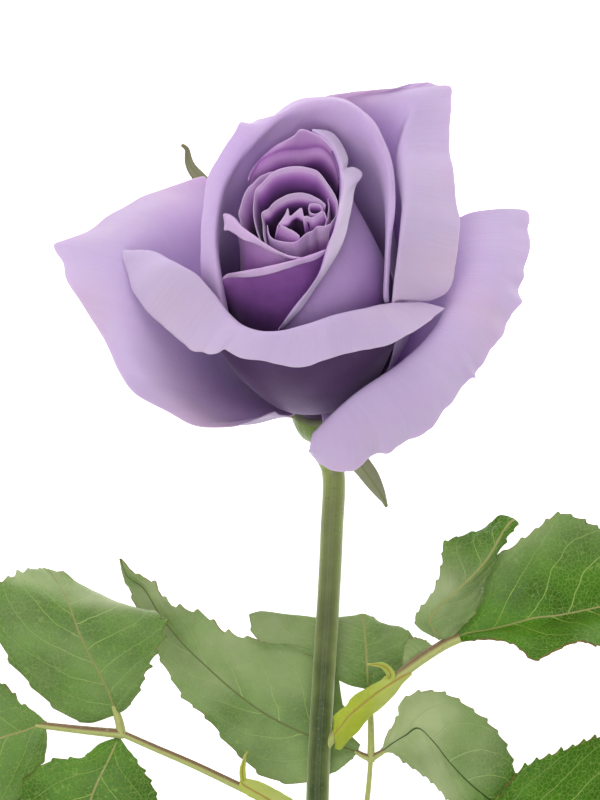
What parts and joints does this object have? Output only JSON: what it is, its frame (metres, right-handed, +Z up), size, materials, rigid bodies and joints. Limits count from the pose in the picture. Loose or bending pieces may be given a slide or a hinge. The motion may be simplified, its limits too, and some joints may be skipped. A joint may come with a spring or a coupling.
{
  "type": "cut rose",
  "caption": "Cut lavender rose lying on its side: high-centred bloom with turned-back outer petals, green calyx, slim stem with a slanting cut end, and compound leaves with toothed leaflets.",
  "frame": {"origin": "on the table, under the middle of the rose's outline seen from above", "axes": "+Z up from the table, +Y along the stem from the cut end to the bloom, +X to the right of somebody who looks down with the bloom away from them"},
  "size_m": [0.1754, 0.2648, 0.0749],
  "materials": {
    "petal": "matt, velvety petal, pale lavender at the edges and purple in the depths",
    "calyx_green": "satin yellow-green skin of the calyx",
    "stem_green": "satin dark green rind of the stem",
    "leaf_green": "waxy mid-green leaf with pale veins"
  },
  "bodies": {
    "root": {"bloom": "petal", "calyx": "calyx_green", "stem": "stem_green", "leaf_left": "leaf_green", "leaf_back": "leaf_green", "leaf_right": "leaf_green"}
  },
  "joints": []
}
